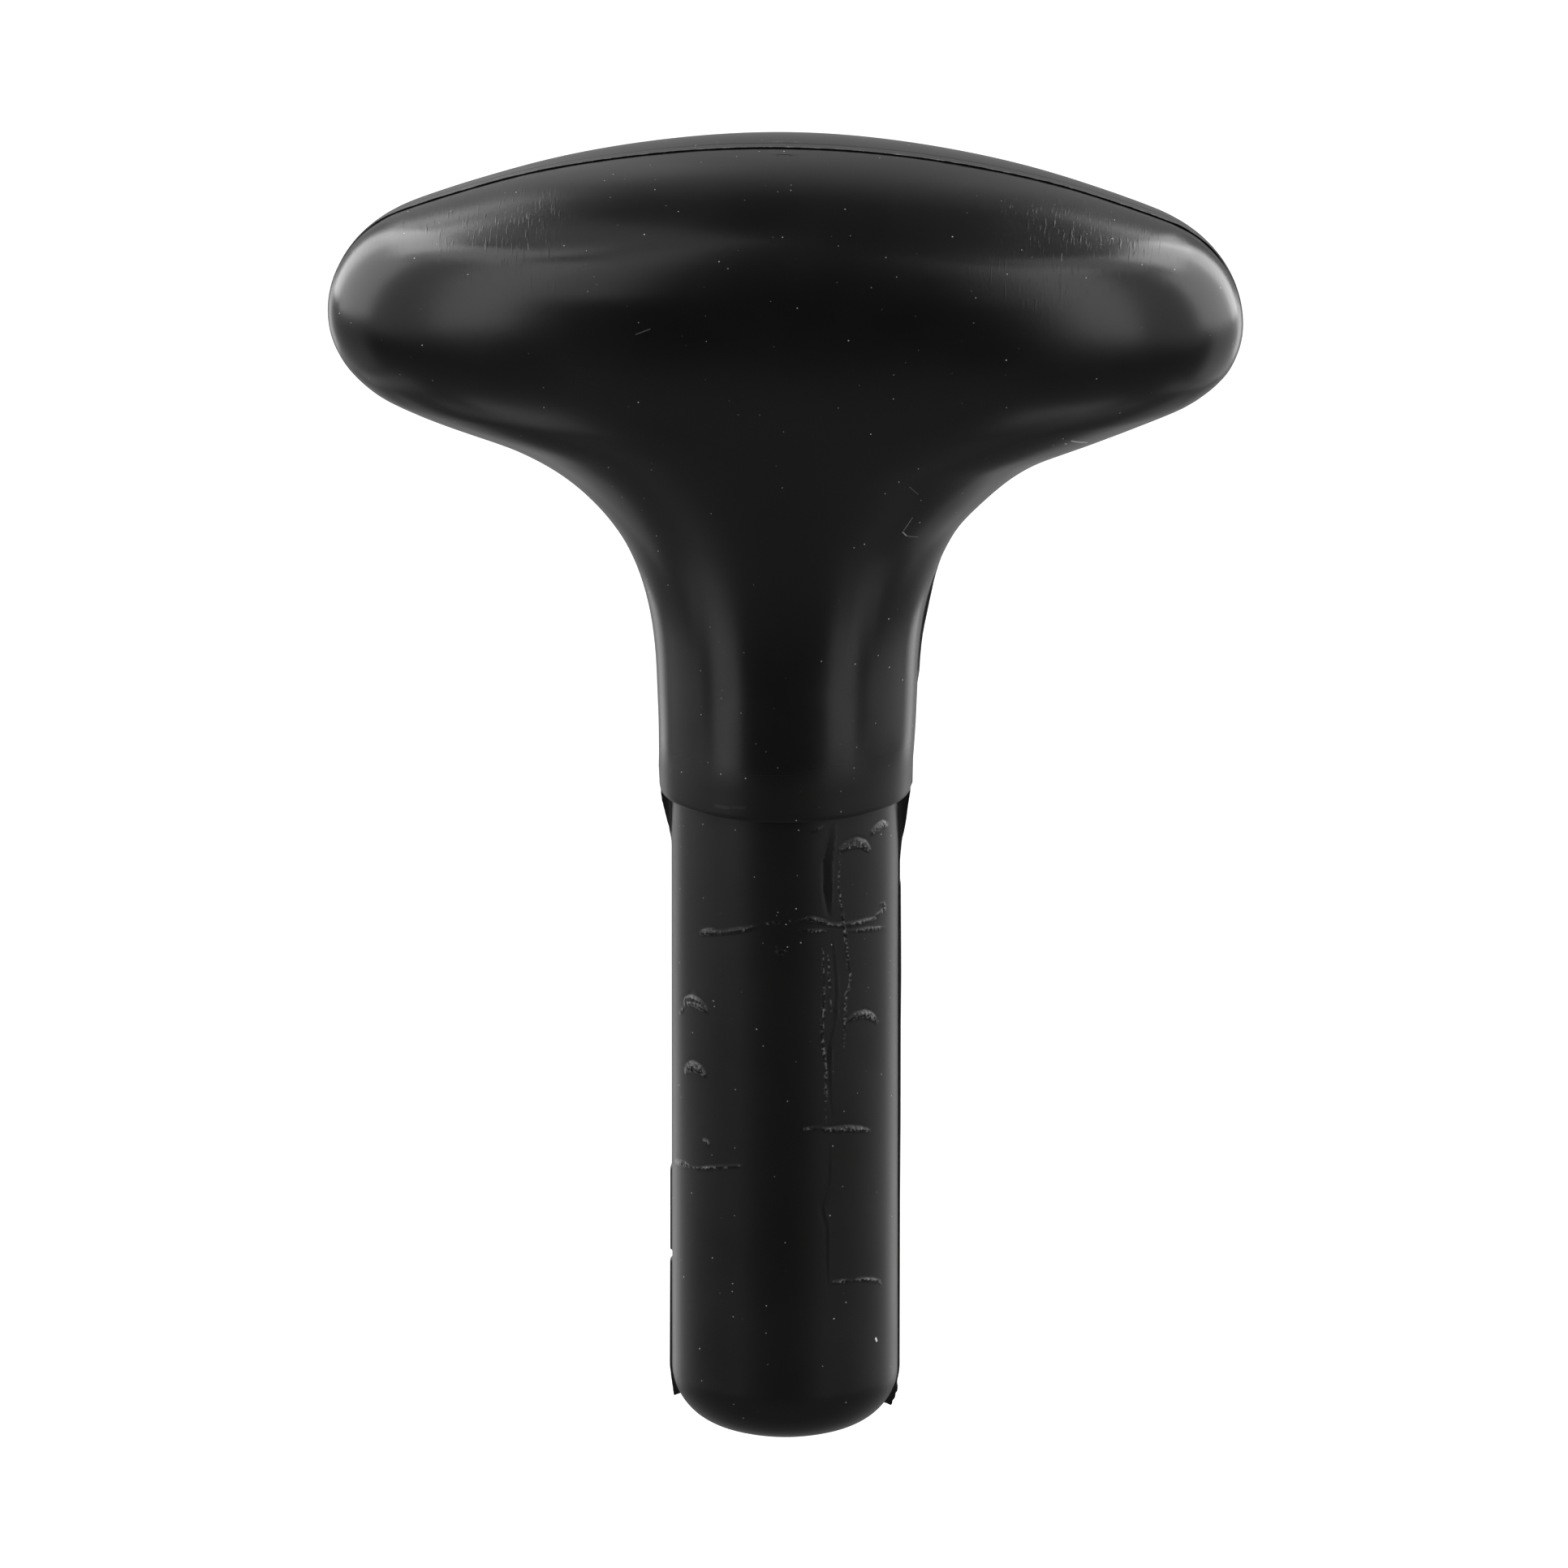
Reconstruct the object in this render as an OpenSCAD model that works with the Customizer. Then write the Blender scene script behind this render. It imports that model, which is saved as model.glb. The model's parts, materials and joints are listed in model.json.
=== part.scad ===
// T-grip for a paddle shaft, moulded in one piece of plastic.
//
// Millimetres. +Z runs up the shaft's axis, X across the palm, Y from front to back.
// The origin is the centre of the shoulder that seats on the end of the shaft tube:
// the palm head stands above it on a flared neck, and the spigot goes down into the tube.

/* [Palm head] */
// Width from tip to tip
grip_w = 103.6; // [96:0.2:114]
// Depth from front to back
grip_d = 40.8; // [34:0.2:46]
// Height of the crest above the shoulder
crest_h = 75.4; // [72:0.1:90]
// Height of the crest above the level of the tips
tip_drop = 20; // [18:0.1:22]
// Height of the crest above the level where the head is deepest
crown_drop = 14.7; // [12:0.1:19]
// Radius of the long arch over the crown, seen from the front
crown_r = 122; // [110:1:140]
// Radius of the underside of each tip
tip_under_r = 10; // [8:0.1:12]
// Rise of the underside from the flare out to the tips, in degrees
under_slope = 22.4; // [12:0.2:26]
// Fullness of the crown seen from the side, where 2 is an ellipse
crown_fullness = 2.55; // [2:0.05:3.4]
// Fullness of the head seen from above, where 2 is an ellipse
plan_fullness = 2; // [1.8:0.05:2.4]

/* [Flare and neck] */
// Diameter of the collar at its rim, the same as the outside of the shaft tube
collar_d = 28.6; // [27.4:0.1:29.6]
// Height of the straight neck above the shoulder
neck_h = 14; // [8:0.1:16]
// Draft of the neck on each side, in degrees
neck_draft = 2.2; // [0.5:0.1:3]
// Rounding of the collar's rim
rim_round = 0.3; // [0.2:0.1:0.8]
// How far the flare keeps the direction of the underside
flare_reach = 14.5; // [12:0.5:20]
// How far the flare keeps the direction of the neck
neck_reach = 25.4; // [20:0.2:30]

/* [Spigot] */
// Diameter of the spigot that goes into the shaft tube
spigot_d = 25.8; // [24:0.1:26.4]
// Length of the straight part of the spigot below the shoulder
spigot_l = 68.8; // [60:0.1:80]
// Depth of the domed end
dome_h = 7.8; // [6.4:0.1:9]
// Radius of the long arch of the domed end
dome_r = 23.6; // [20:0.2:27]

/* [Parting line] */
// Width of the witness line where the mould's halves met
line_w = 0.4; // [0.3:0.05:0.6]
// How far the witness line stands proud
line_h = 0.1; // [0.06:0.01:0.16]
// Width of the flash on the flanks of the spigot
flash_w = 0.6; // [0.4:0.05:0.9]
// How far the flash stands proud, which still clears the shaft tube
flash_h = 0.2; // [0.1:0.01:0.22]
// Start of the right flank's flash, below the shoulder
flash_right_top = 11.3; // [8:0.1:20]
// Start of the left flank's flash, below the shoulder
flash_left_top = 45.5; // [30:0.1:50]
// Start of the break in the left flank's flash, below the shoulder
flash_break_top = 55.3; // [52:0.1:58]
// Length of the break in the left flank's flash
flash_break = 1.2; // [0.6:0.1:3]
// How far the flash runs on around the edge of the dome
flash_over_dome = 4.2; // [1:0.1:5]

/* [Hidden] */

// Facets around the head, and rings along each stretch of its outline
around = 72;
crown_rings = 12;
tip_rings = 8;
under_rings = 8;
flare_rings = 16;
// Steps around each small rounding of a turned profile
round_steps = 8;
dome_steps = 10;

half_w = grip_w / 2;
half_d = grip_d / 2;
tip_z = crest_h - tip_drop;
deepest_z = crest_h - crown_drop;
collar_r = collar_d / 2;
spigot_r = spigot_d / 2;
neck_top_r = collar_r + neck_h * tan(neck_draft);
// The head's lowest ring laps over the neck by this much, so that the two join cleanly
lap = 0.03;
joint_overlap = 0.5;

function clamp01(t) = max(0, min(1, t));
function ease(t) = t * t * (3 - 2 * t);
function mix(a, b, t) = a + (b - a) * t;

// A three-centred arch has one long arc over the middle and a short arc down each side.
// The short arc's radius follows from the half span, the rise and the long arc's radius.
function arch_side_r(half_span, rise, long_r) =
    (2 * long_r * rise - rise * rise - half_span * half_span) / (2 * (long_r - half_span));
// Angle at which the long arc hands over to the short one, from the middle
function arch_turn(half_span, rise, long_r) =
    atan2(half_span - arch_side_r(half_span, rise, long_r), long_r - rise);

// One station of an outline: [x, z, angle of the outward normal from +X]
function arc_station(cx, cz, r, angle) = [cx + r * cos(angle), cz + r * sin(angle), angle];

tip_r = arch_side_r(half_w, tip_drop, crown_r);
crown_turn = arch_turn(half_w, tip_drop, crown_r);
under_turn = 90 - under_slope;

// Front outline of the right half, from the crest down to the top of the neck
crown_stations = [
    for (i = [1 : crown_rings])
        arc_station(0, crest_h - crown_r, crown_r, 90 - crown_turn * i / crown_rings)
];
tip_stations = [
    for (i = [1 : tip_rings])
        arc_station(half_w - tip_r, tip_z, tip_r, (90 - crown_turn) * (1 - i / tip_rings))
];
under_stations = [
    for (i = [1 : under_rings])
        arc_station(half_w - tip_under_r, tip_z, tip_under_r, -under_turn * i / under_rings)
];

// The flare is a Bezier curve from the end of the underside to the top of the neck
flare_from = [for (i = [0 : 1]) under_stations[under_rings - 1][i]];
flare_to = [neck_top_r, neck_h];
flare_points = [
    flare_from,
    flare_from - flare_reach * [cos(under_slope), sin(under_slope)],
    flare_to + neck_reach * [sin(neck_draft), cos(neck_draft)],
    flare_to
];
function bezier(p, t) =
    pow(1 - t, 3) * p[0] + 3 * pow(1 - t, 2) * t * p[1]
    + 3 * (1 - t) * t * t * p[2] + pow(t, 3) * p[3];
function bezier_way(p, t) =
    pow(1 - t, 2) * (p[1] - p[0]) + 2 * (1 - t) * t * (p[2] - p[1]) + t * t * (p[3] - p[2]);
function flare_station(t) =
    let (q = bezier(flare_points, t), way = bezier_way(flare_points, t))
    [q[0], q[1], atan2(way[0], -way[1])];
flare_stations = [for (i = [1 : flare_rings]) flare_station(i / flare_rings)];

outline = concat(crown_stations, tip_stations, under_stations, flare_stations);

// Half depth of the head at a height: round neck, slow swelling, then over the crown
function half_depth(z) =
    z > deepest_z
    ? half_d * pow(1 - pow(clamp01((z - deepest_z) / crown_drop), crown_fullness), 1 / crown_fullness)
    : mix(neck_top_r, half_d, ease(clamp01((z - neck_h) / (deepest_z - neck_h))));

// Fullness of the level section at a height: a circle at the neck, an oval at the tips
function fullness(z) = mix(2, plan_fullness, ease(clamp01((z - neck_h) / (tip_z - neck_h))));

function signed_pow(v, e) = sign(v) * pow(abs(v), e);
function level_section(a, b, z, n) = [
    for (k = [0 : around - 1])
        let (t = 360 * k / around)
        [a * signed_pow(cos(t), 2 / n), b * signed_pow(sin(t), 2 / n), z]
];

// Head and flare, lofted through one level section for each station of the outline
module palm_head() {
    rings = [
        for (s = outline)
            level_section(s[0] + lap, half_depth(s[1]) + lap, s[1], fullness(s[1]))
    ];
    last = len(rings) - 1;
    points = concat([[0, 0, crest_h]], [for (ring = rings) each ring]);
    top = [for (k = [0 : around - 1]) [0, 1 + (k + 1) % around, 1 + k]];
    bottom = [[for (k = [0 : around - 1]) 1 + last * around + k]];
    sides = [
        for (i = [0 : last - 1], k = [0 : around - 1])
            let (
                a = 1 + i * around + k,
                b = 1 + i * around + (k + 1) % around,
                c = b + around,
                d = a + around
            )
            each [[a, b, c], [a, c, d]]
    ];
    polyhedron(points, concat(top, sides, bottom));
}

// Neck and collar, turned, with the flat shoulder underneath
module neck() {
    rim = [
        for (i = [0 : round_steps])
            let (t = -90 + 90 * i / round_steps)
            [collar_r - rim_round + rim_round * cos(t), rim_round + rim_round * sin(t)]
    ];
    rotate_extrude($fn = 96)
        polygon(concat(
            [[0, 0]],
            rim,
            [[neck_top_r, neck_h], [neck_top_r, neck_h + joint_overlap], [0, neck_h + joint_overlap]]
        ));
}

// Half profile of the spigot and its domed end, grown outwards by a small height
function spigot_profile(grow) =
    let (
        side_r = arch_side_r(spigot_r, dome_h, dome_r),
        turn = arch_turn(spigot_r, dome_h, dome_r),
        side = [
            for (i = [0 : dome_steps])
                arc_station(spigot_r - side_r, -spigot_l, side_r + grow, -(90 - turn) * i / dome_steps)
        ],
        long = [
            for (i = [1 : dome_steps])
                arc_station(0, -spigot_l - dome_h + dome_r, dome_r + grow,
                            -90 + turn * (1 - i / dome_steps))
        ]
    )
    concat(
        [[0, joint_overlap], [spigot_r + grow, joint_overlap]],
        [for (s = concat(side, long)) [max(0, s[0]), s[1]]]
    );

module spigot() {
    rotate_extrude($fn = 96)
        polygon(spigot_profile(0));
}

// A thin upright web in the parting plane
module parting_web(width) {
    rotate([90, 0, 0])
        linear_extrude(width, center = true)
            children();
}

// Witness line over the crown, around the tips, under the flare and down the neck
module witness_line() {
    edge = concat(
        [[0, crest_h + line_h]],
        [for (s = outline) [s[0] + line_h * cos(s[2]), s[1] + line_h * sin(s[2])]],
        [[collar_r + line_h, rim_round], [collar_r - rim_round, rim_round]]
    );
    mirrored = [for (i = [len(edge) - 1 : -1 : 1]) [-edge[i][0], edge[i][1]]];
    parting_web(line_w)
        polygon(concat(edge, mirrored));
}

// One stretch of flash on a flank of the spigot, from one depth to another
module flash_strip(side, from, to) {
    parting_web(flash_w)
        mirror([side < 0 ? 1 : 0, 0])
            intersection() {
                polygon(spigot_profile(flash_h));
                translate([0, -to])
                    square([spigot_d, to - from]);
            }
}

module flash() {
    flash_end = spigot_l + flash_over_dome;
    flash_strip(1, flash_right_top, flash_end);
    flash_strip(-1, flash_left_top, flash_break_top);
    flash_strip(-1, flash_break_top + flash_break, flash_end);
}

// The whole moulding, black plastic
module grip() {
    color([0.09, 0.09, 0.095])
        union() {
            palm_head();
            neck();
            spigot();
            witness_line();
            flash();
        }
}

grip();
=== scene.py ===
"""A T-grip for a paddle shaft, moulded in black plastic, on a plain pale studio floor."""

import json
import math

import bmesh
import bpy
import numpy as np
from bpy.props import FloatProperty, FloatVectorProperty, PointerProperty
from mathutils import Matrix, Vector, noise


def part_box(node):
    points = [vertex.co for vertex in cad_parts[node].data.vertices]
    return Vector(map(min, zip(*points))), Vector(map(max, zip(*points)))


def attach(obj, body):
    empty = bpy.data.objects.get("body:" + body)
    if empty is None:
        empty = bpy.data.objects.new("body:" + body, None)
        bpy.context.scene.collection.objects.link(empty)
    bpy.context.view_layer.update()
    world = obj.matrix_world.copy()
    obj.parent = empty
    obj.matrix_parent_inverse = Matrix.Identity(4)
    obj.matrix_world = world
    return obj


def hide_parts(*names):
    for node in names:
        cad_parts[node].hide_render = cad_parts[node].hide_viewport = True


bl_info = {
    "name": "Paddle T-grip",
    "version": (1, 0, 0),
    "blender": (4, 5, 0),
    "location": "3D View > Sidebar > T-grip",
    "description": "Models a moulded paddle T-grip and lights it in a plain studio",
    "category": "Mesh",
}

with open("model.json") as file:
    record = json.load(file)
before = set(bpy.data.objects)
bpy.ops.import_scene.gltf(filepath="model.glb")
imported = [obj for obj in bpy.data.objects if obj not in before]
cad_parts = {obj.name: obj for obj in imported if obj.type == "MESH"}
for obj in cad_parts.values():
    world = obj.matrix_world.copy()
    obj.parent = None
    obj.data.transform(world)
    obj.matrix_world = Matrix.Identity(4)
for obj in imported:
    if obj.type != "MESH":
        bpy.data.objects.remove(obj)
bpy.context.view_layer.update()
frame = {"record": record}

MM = 0.001
WHITE = (1, 1, 1, 1)
LOW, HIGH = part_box("grip")
PIN = next(mount for mount in frame["record"]["mounts"] if mount["name"] == "spigot")
SPIGOT_RADIUS = PIN["dims"]["r_mm"] * MM
SPIGOT_LENGTH = PIN["dims"]["length_mm"] * MM

# How far the parting line stands proud, and how far the solid's head laps over its own outline
LINE_PROUD = 0.1 * MM
HEAD_LAP = 0.03 * MM

# Rings along each stretch of the grip, from the crest down
CROWN_RINGS = 44
TIP_RINGS = 28
UNDER_RINGS = 24
FLARE_RINGS = 50
NECK_RINGS = 9
RIM_RINGS = 8
DOME_SIDE_RINGS = 46
DOME_END_RINGS = 12
# Columns from the parting line round to the middle of the front or the back of the head
HEAD_QUARTER = 32
# Turn of the first ring round the crest, and the cuts across the cap that closes it
CREST_TURN = math.radians(1.3)
CAP_CUTS = 3
# Points closer than this are one point, and edges flatter than this angle are shaded smooth
SAME_PLACE = 1e-7
SMOOTH_ANGLE = math.radians(34)
# Heights above the shoulder over which the neck's lean comes in, and over which it fades
LEAN_START = (0, 9 * MM)
LEAN_END = (24 * MM, 44 * MM)
# Spacing of the shader nodes in the editor
NODE_GAP = 200
# How steep the rim's rounding is against a round edge, for the way its normals turn
RIM_STEEPNESS = 4

# Section of the head's parting line in mm, front to back: (place, height).
# The back half of the mould stands a little higher, with a burr along its edge.
PARTING_SECTION = [
    (-2.2, 0.0), (-1.2, 0.0), (-0.6, -0.01), (-0.25, -0.04), (-0.06, -0.09), (-0.02, -0.09),
    (0.03, 0.10), (0.14, 0.09), (0.3, 0.05), (0.7, 0.04), (1.3, 0.03),
    (1.6, 0.02), (1.75, -0.03), (1.9, 0.0), (2.4, 0.0),
]
# How strong that section is at each height above the shoulder in mm, on the left and the right
PARTING_LEFT = [
    (0, 0.2), (1.6, 0.3), (2.1, 0.7), (2.6, 0.3), (20, 0.2), (50, 0.15), (61, 0.3), (66, 1.0),
    (80, 1.0),
]
PARTING_RIGHT = [(0, 0.2), (20, 0.3), (28, 0.2), (50, 0.15), (60, 0.3), (64, 1.0), (80, 1.0)]
# How much its strength wanders, and over what length
PARTING_WANDER = 0.35
PARTING_WANDER_LENGTH = 0.9 * MM
# Thin flash that stands out of the neck's right side in mm, at each height above the shoulder
NECK_FLASH = [
    (0.3, 0), (0.7, 0.12), (1.8, 0.12), (2.6, 0), (12.5, 0), (13.5, 0.17), (18, 0.2), (21, 0.32),
    (23, 0.3), (25, 0.15), (28, 0),
]
NECK_FLASH_HALF_WIDTH = 0.2 * MM
# Places where the real outline is fuller or leaner: (side, height, reach up and down, amount) in mm
SWELLINGS = [
    (-1, 72, 2.5, 0.1), (-1, 56, 7, 0.08), (-1, 44.6, 3.6, 0.33), (-1, 34.5, 6, 0.12),
    (1, 71.5, 2.5, 0.08), (1, 47.3, 3.4, -0.2), (1, 42.6, 2.6, 0.2), (1, 35.4, 4.5, 0.27),
]

# Section of the flash on the spigot in mm, front to back: (place, highest on the right, highest on
# the left). The right one has a square step at its foot, the left one runs out in a fillet.
FLASH_SECTION = [
    (-1.2, 0, 0), (-0.9, 0, 0.02), (-0.7, 0, 0.05), (-0.6, 0, 0.08), (-0.54, 0.2, 0.14),
    (-0.45, 0.45, 0.35), (-0.4, 2, 2), (0, 2, 2), (0.4, 2, 2), (0.45, 0.45, 0.35),
    (0.54, 0.2, 0.14), (0.6, 0, 0.08), (0.7, 0, 0.05), (0.9, 0, 0.02), (1.2, 0, 0),
]
# How far the flash and the webs stand proud at each depth below the shoulder in mm
FLASH_RIGHT = [
    (0, 1.15), (0.06, 1.34), (0.55, 1.3), (1.3, 1.18), (2.1, 1.06), (3.6, 0.88), (4.4, 0.75),
    (5.2, 0.6), (5.9, 0.42), (6.7, 0.32), (8.1, 0.2), (8.7, 0.15), (11.1, 0.15), (11.5, 0.25),
    (22, 0.3), (28, 0.26), (40, 0.25), (49, 0.19), (70.5, 0.16), (71, 0.25), (71.3, 0.5),
    (71.7, 0.65), (71.9, 0.56), (72.3, 0.8), (72.6, 0.74), (72.9, 0.95), (73.1, 0.95), (73.2, 0),
]
FLASH_LEFT = [
    (0, 1.05), (0.06, 1.27), (1, 1.25), (1.4, 1.18), (1.8, 1.15), (2.15, 1.03), (2.5, 0.97),
    (2.9, 0.86), (3.3, 0.77), (3.7, 0.67), (4.1, 0.58), (4.5, 0.48), (4.85, 0.35), (5.2, 0.3),
    (5.6, 0.23), (6, 0.14), (6.4, 0.07), (6.8, 0.04), (45.2, 0.06), (45.6, 0.23), (55.3, 0.24),
    (55.4, 0), (56.4, 0), (56.6, 0.26), (70, 0.32), (71, 0.48), (71.6, 0.66), (72.3, 1), (72.4, 1),
    (72.5, 0),
]

# Columns round the front of the spigot in degrees with their spacing in mm, and the spacing in
# degrees round its back
FRONT_COLUMNS = [
    (-84, -66, 0.45), (-66, -34, 0.15), (-34, 8, 0.35), (8, 66, 0.15), (66, 84, 0.45),
]
BACK_COLUMN_TURN = 6
# Rings down the spigot in mm below the shoulder, and the spacing in each stretch
SPIGOT_RINGS = [
    (0.0, 6.0, 0.16), (6.0, 11.4, 0.55), (11.4, 15.6, 0.15), (15.6, 22.4, 0.6), (22.4, 26.2, 0.15),
    (26.2, 30.2, 0.5), (30.2, 32.8, 0.15), (32.8, 36.4, 0.6), (36.4, 39.6, 0.16),
    (39.6, 41.2, 0.4), (41.2, 44.2, 0.16), (44.2, 45.8, 0.25), (45.8, 54.8, 0.75),
    (54.8, 57.8, 0.16), (57.8, SPIGOT_LENGTH / MM, 0.8),
]

# Marks that the mould left on the spigot: name: (route, left width, right width, height, beads).
# A route runs through (degrees round from the front, mm below the shoulder). Widths and height
# are in mm, and beads says how deep the gaps between beads are, from 0 to 1.
MARKS = {
    "long fold, left blister": (
        [(-46, 15.0), (-42, 14.7), (-37, 14.4), (-32, 14.3)], 0.6, 0.3, 0.13, 0.5),
    "long fold, left run": (
        [(-36, 14.4), (-30, 14.1), (-23, 13.7), (-16, 13.2), (-11, 12.8)], 0.34, 0.18, 0.11, 0.3),
    "long fold, middle": ([(-10, 12.6), (0, 12.2), (10, 12.0)], 0.18, 0.16, 0.08, 1.0),
    "long fold, right face": (
        [(9, 12.2), (14, 12.0), (18, 12.1), (22, 12.4), (27, 12.9)], 0.42, 0.2, 0.15, 0.3),
    "long fold, right run": (
        [(24, 12.7), (33, 13.1), (42, 13.2), (51, 13.2), (60, 13.4)], 0.28, 0.2, 0.12, 0.2),
    "long fold, hatched end": (
        [(54, 13.0), (60, 12.9), (64, 12.6), (63, 12.0), (58, 11.8)], 0.32, 0.3, 0.1, 0.9),
    "second line, left": ([(9, 13.3), (13, 13.3), (19, 13.4), (25, 13.5)], 0.22, 0.2, 0.1, 0.9),
    "second line, right": (
        [(36, 13.9), (42, 14.1), (50, 14.3), (60, 14.7), (66, 15.0)], 0.26, 0.2, 0.11, 0.9),
    "upper hump": (
        [(31, 4.3), (36, 4.0), (41, 3.9), (46, 4.3), (51, 5.2)], 0.95, 0.25, 0.2, 0.3),
    "upper blob": ([(51, 3.3), (56, 2.9), (61, 2.7), (67, 3.0)], 0.8, 0.25, 0.18, 0.5),
    "small tick": ([(16, 1.6), (19, 1.4), (23, 1.1)], 0.18, 0.14, 0.08, 0.2),
    "left moon": (
        [(-60, 24.4), (-57, 23.9), (-51, 23.6), (-46, 23.7), (-40, 24.0)], 1.15, 0.3, 0.18, 0.1),
    "left moon tail": ([(-66, 25.6), (-63, 25.2), (-60, 24.5)], 0.3, 0.3, 0.1, 0.8),
    "lower left moon": (
        [(-59, 32.4), (-56, 31.8), (-51, 31.4), (-46, 31.4), (-41, 31.7)], 1.1, 0.3, 0.18, 0.2),
    "right moon": (
        [(36, 24.7), (41, 24.3), (47, 24.4), (52, 24.9), (57, 25.9)], 0.7, 0.25, 0.15, 0.2),
    "upper tick, dots": ([(10, 36.9), (15, 36.8), (21, 36.8)], 0.2, 0.2, 0.1, 1.0),
    "upper tick": (
        [(20, 37.0), (26, 37.3), (31, 37.4), (37, 37.5), (44, 37.9), (52, 38.5)],
        0.5, 0.2, 0.14, 0.2),
    "left tick, blob": ([(-74, 43.9), (-68, 43.6), (-61, 43.4), (-54, 43.1)], 0.6, 0.4, 0.12, 0.4),
    "left tick": (
        [(-58, 43.3), (-47, 43.0), (-36, 42.3), (-26, 41.8), (-18, 41.4)], 0.2, 0.14, 0.08, 0.2),
    "small fold": ([(-44, 39.4), (-41, 39.5), (-38, 39.5)], 0.3, 0.16, 0.12, 0.1),
    "low tick, left": ([(27, 55.5), (33, 55.5), (39, 55.7)], 0.25, 0.25, 0.07, 0.4),
    "low tick": ([(39, 55.7), (45, 55.8), (53, 56.3), (59, 56.8), (61, 57.5)], 0.26, 0.2, 0.1, 0.2),
    "star": ([(-2, 15.0), (0, 15.6), (3, 15.6), (5, 15.1)], 0.25, 0.3, 0.08, 0.7),
    "crease, upper": (
        [(29, 0.9), (27.5, 2.4), (25, 5.4), (25, 9.1), (26, 11.8)], 0.6, 0.6, -0.28, 0.0),
    "crease, middle": (
        [(27, 13.4), (29, 17.4), (30, 21.1), (29, 24.3), (26, 27.3), (26, 30.3), (27, 34.0),
         (28, 36.4)],
        0.32, 0.32, -0.14, 0.0),
    "crease, lower": (
        [(27, 38.0), (26, 43.7), (22, 46.5), (25, 48.8), (25, 53.2), (26, 57.2)],
        0.3, 0.3, -0.12, 0.0),
    "crease, left side": (
        [(22, 14.4), (23, 20.2), (22, 25.9), (24, 30.3), (24, 36.1)], 0.25, 0.25, 0.025, 0.0),
    "crease, short side": ([(25, 15.8), (26, 19.5), (27, 23.4)], 0.2, 0.2, 0.025, 0.0),
    "crease, right side": (
        [(32, 4.1), (31, 8.3), (34, 13.0), (37, 18.2), (38, 19.8), (35, 21.9), (34, 28.4)],
        0.25, 0.25, 0.025, 0.0),
}
# Height across a fold: from its ridge over the lit face to the thin groove round its foot.
# Only a fold broader than BROAD_FOLD in mm has the groove.
FOLD_FACE = [(0, 1.0), (0.75, 0.5), (1.0, -0.18), (1.3, 0.0)]
FOLD_BACK = [(0, 1.0), (0.5, 0.75), (1.0, 0.0)]
BROAD_FOLD = 0.4
# Height across a crease, from its left edge to its right edge: a facet tilted towards the middle
CREASE = [(-1.3, 0.0), (-1.0, -0.5), (1.0, 0.5), (1.3, 0.0)]
# How bluntly a mark runs out, and its width at the ends against the middle
MARK_TAPER = 0.6
MARK_END_WIDTH = 0.3
# Spacing of the beads in mm, and how far and how fast they drift along a mark, in radians
BEAD_LENGTH = 0.42
BEAD_DRIFT = 1.7
BEAD_DRIFT_PACE = 2.3
# Height and spacing in mm of the rough skin on a mark, and the share of mark where it begins
MARK_GRAIN = 0.06
MARK_GRAIN_LENGTH = 0.4
MARK_GRAIN_START = 0.05

# Scratches and dust on the front: name: (from, to, width, paleness), with (x, z) in mm. Each is
# fully pale within 0.3 of its width from its middle line, and gone at 0.7.
SCRATCHES = {
    "angled scratch, upper": ((15.1, 36.1), (14.1, 34.5), 0.09, 0.2),
    "angled scratch, point": ((14.0, 34.3), (14.4, 33.7), 0.12, 0.5),
    "angled scratch, lower": ((14.4, 33.7), (15.6, 33.2), 0.09, 0.2),
    "small arc": ((14.9, 40.4), (15.8, 39.3), 0.1, 0.12),
    "front scratch": ((-15.8, 58.9), (-14.2, 59.6), 0.11, 0.13),
    "dash under the arm": ((33.0, 44.9), (34.6, 44.1), 0.2, 0.7),
    "spot under the arm": ((32.3, 44.6), (32.4, 44.5), 0.2, 0.5),
    "left hairline": ((-28.3, 67.8), (-28.2, 67.3), 0.1, 0.16),
    "right hairline": ((31.9, 67.3), (31.9, 66.7), 0.1, 0.16),
    "collar scuff, left": ((-7.2, 1.35), (-5.8, 1.35), 0.4, 0.022),
    "collar scuff, right": ((-5.3, 1.5), (-3.8, 1.6), 0.3, 0.016),
    "dome dust": ((10.7, -63.4), (10.8, -63.8), 0.16, 1.0),
}

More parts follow.
